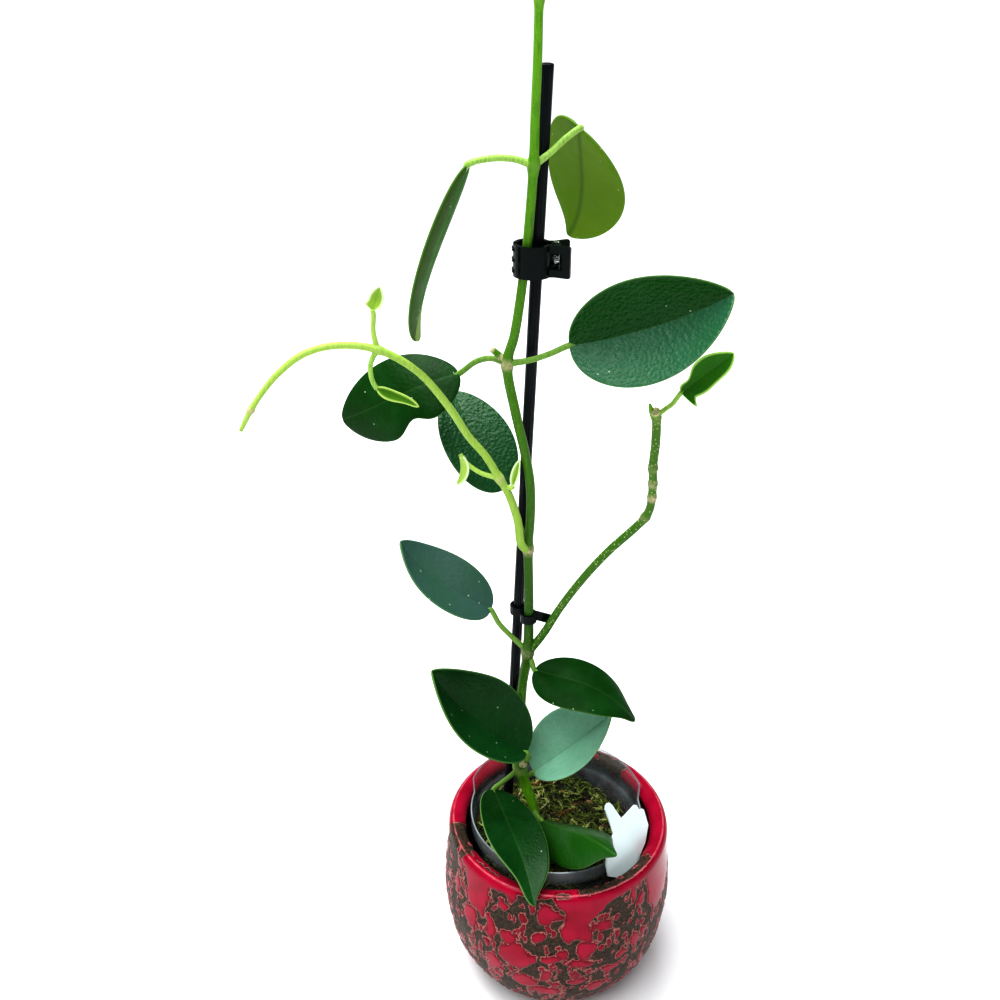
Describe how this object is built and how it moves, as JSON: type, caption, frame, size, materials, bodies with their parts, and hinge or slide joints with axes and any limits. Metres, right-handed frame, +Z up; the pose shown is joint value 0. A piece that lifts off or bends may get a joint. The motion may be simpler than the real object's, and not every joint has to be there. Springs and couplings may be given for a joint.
{
  "type": "potted hoya coronaria",
  "caption": "Climbing houseplant with thick oval leaves, clipped to a dark stake, growing from moss in a clear nursery pot inside a round-bellied pot with red glaze run over a dark one.",
  "frame": {"origin": "on the table, at the centre of the outer pot's foot", "axes": "+Z up; the picture is taken from the -Y side, and +X is to its right"},
  "size_m": [0.2044, 0.1242, 0.5542],
  "materials": {
    "glazed_stoneware": "glossy red glaze run in patches over a satin brown-black glaze, thin pale edges between them",
    "clear_plastic": "thin clear sheet plastic, a little hazy",
    "moss_mix": "loose yellow-green moss strands over dark bark",
    "tag_plastic": "blank white satin sheet plastic",
    "stake_plastic": "blue-black satin plastic with fine ridges along it",
    "clip_plastic": "dark green-black moulded plastic",
    "spring_steel": "bright drawn wire",
    "stem": "smooth living green stem, lime where it is young",
    "leaf": "thick waxy leaf, deep green with a soft sheen and a thin pale edge"
  },
  "bodies": {
    "root": {"ceramic_pot": "glazed_stoneware", "nursery_pot": "clear_plastic", "growing_mix": "moss_mix", "plant_tag_back": "tag_plastic", "plant_tag_front": "tag_plastic", "stake": "stake_plastic", "tie_clip": "clip_plastic", "claw_back_jaw": "clip_plastic", "claw_pin": "spring_steel", "claw_spring": "spring_steel", "main_stem": "stem", "left_runner": "stem", "right_shoot": "stem", "leaf_top_right": "leaf", "leaf_top_left": "leaf", "leaf_middle_right": "leaf", "leaf_middle_left": "leaf", "leaf_middle_back": "leaf", "leaf_low_left": "leaf", "leaf_foot_left": "leaf", "leaf_foot_right": "leaf", "leaf_pale_right": "leaf", "leaf_rim_front": "leaf", "leaf_rim_right": "leaf", "young_leaf_right": "leaf", "young_leaf_left": "leaf"},
    "front_jaw": {"claw_front_jaw": "clip_plastic"}
  },
  "joints": [
    {"name": "claw_open", "type": "hinge", "parent": "root", "child": "front_jaw", "pos_m": [-0.0083, 0.0016, 0.388], "axis": [0, 0, 1], "range_deg": [0, 25], "stiffness_Nm_per_rad": 0.004, "springref_deg": -20.05}
  ]
}
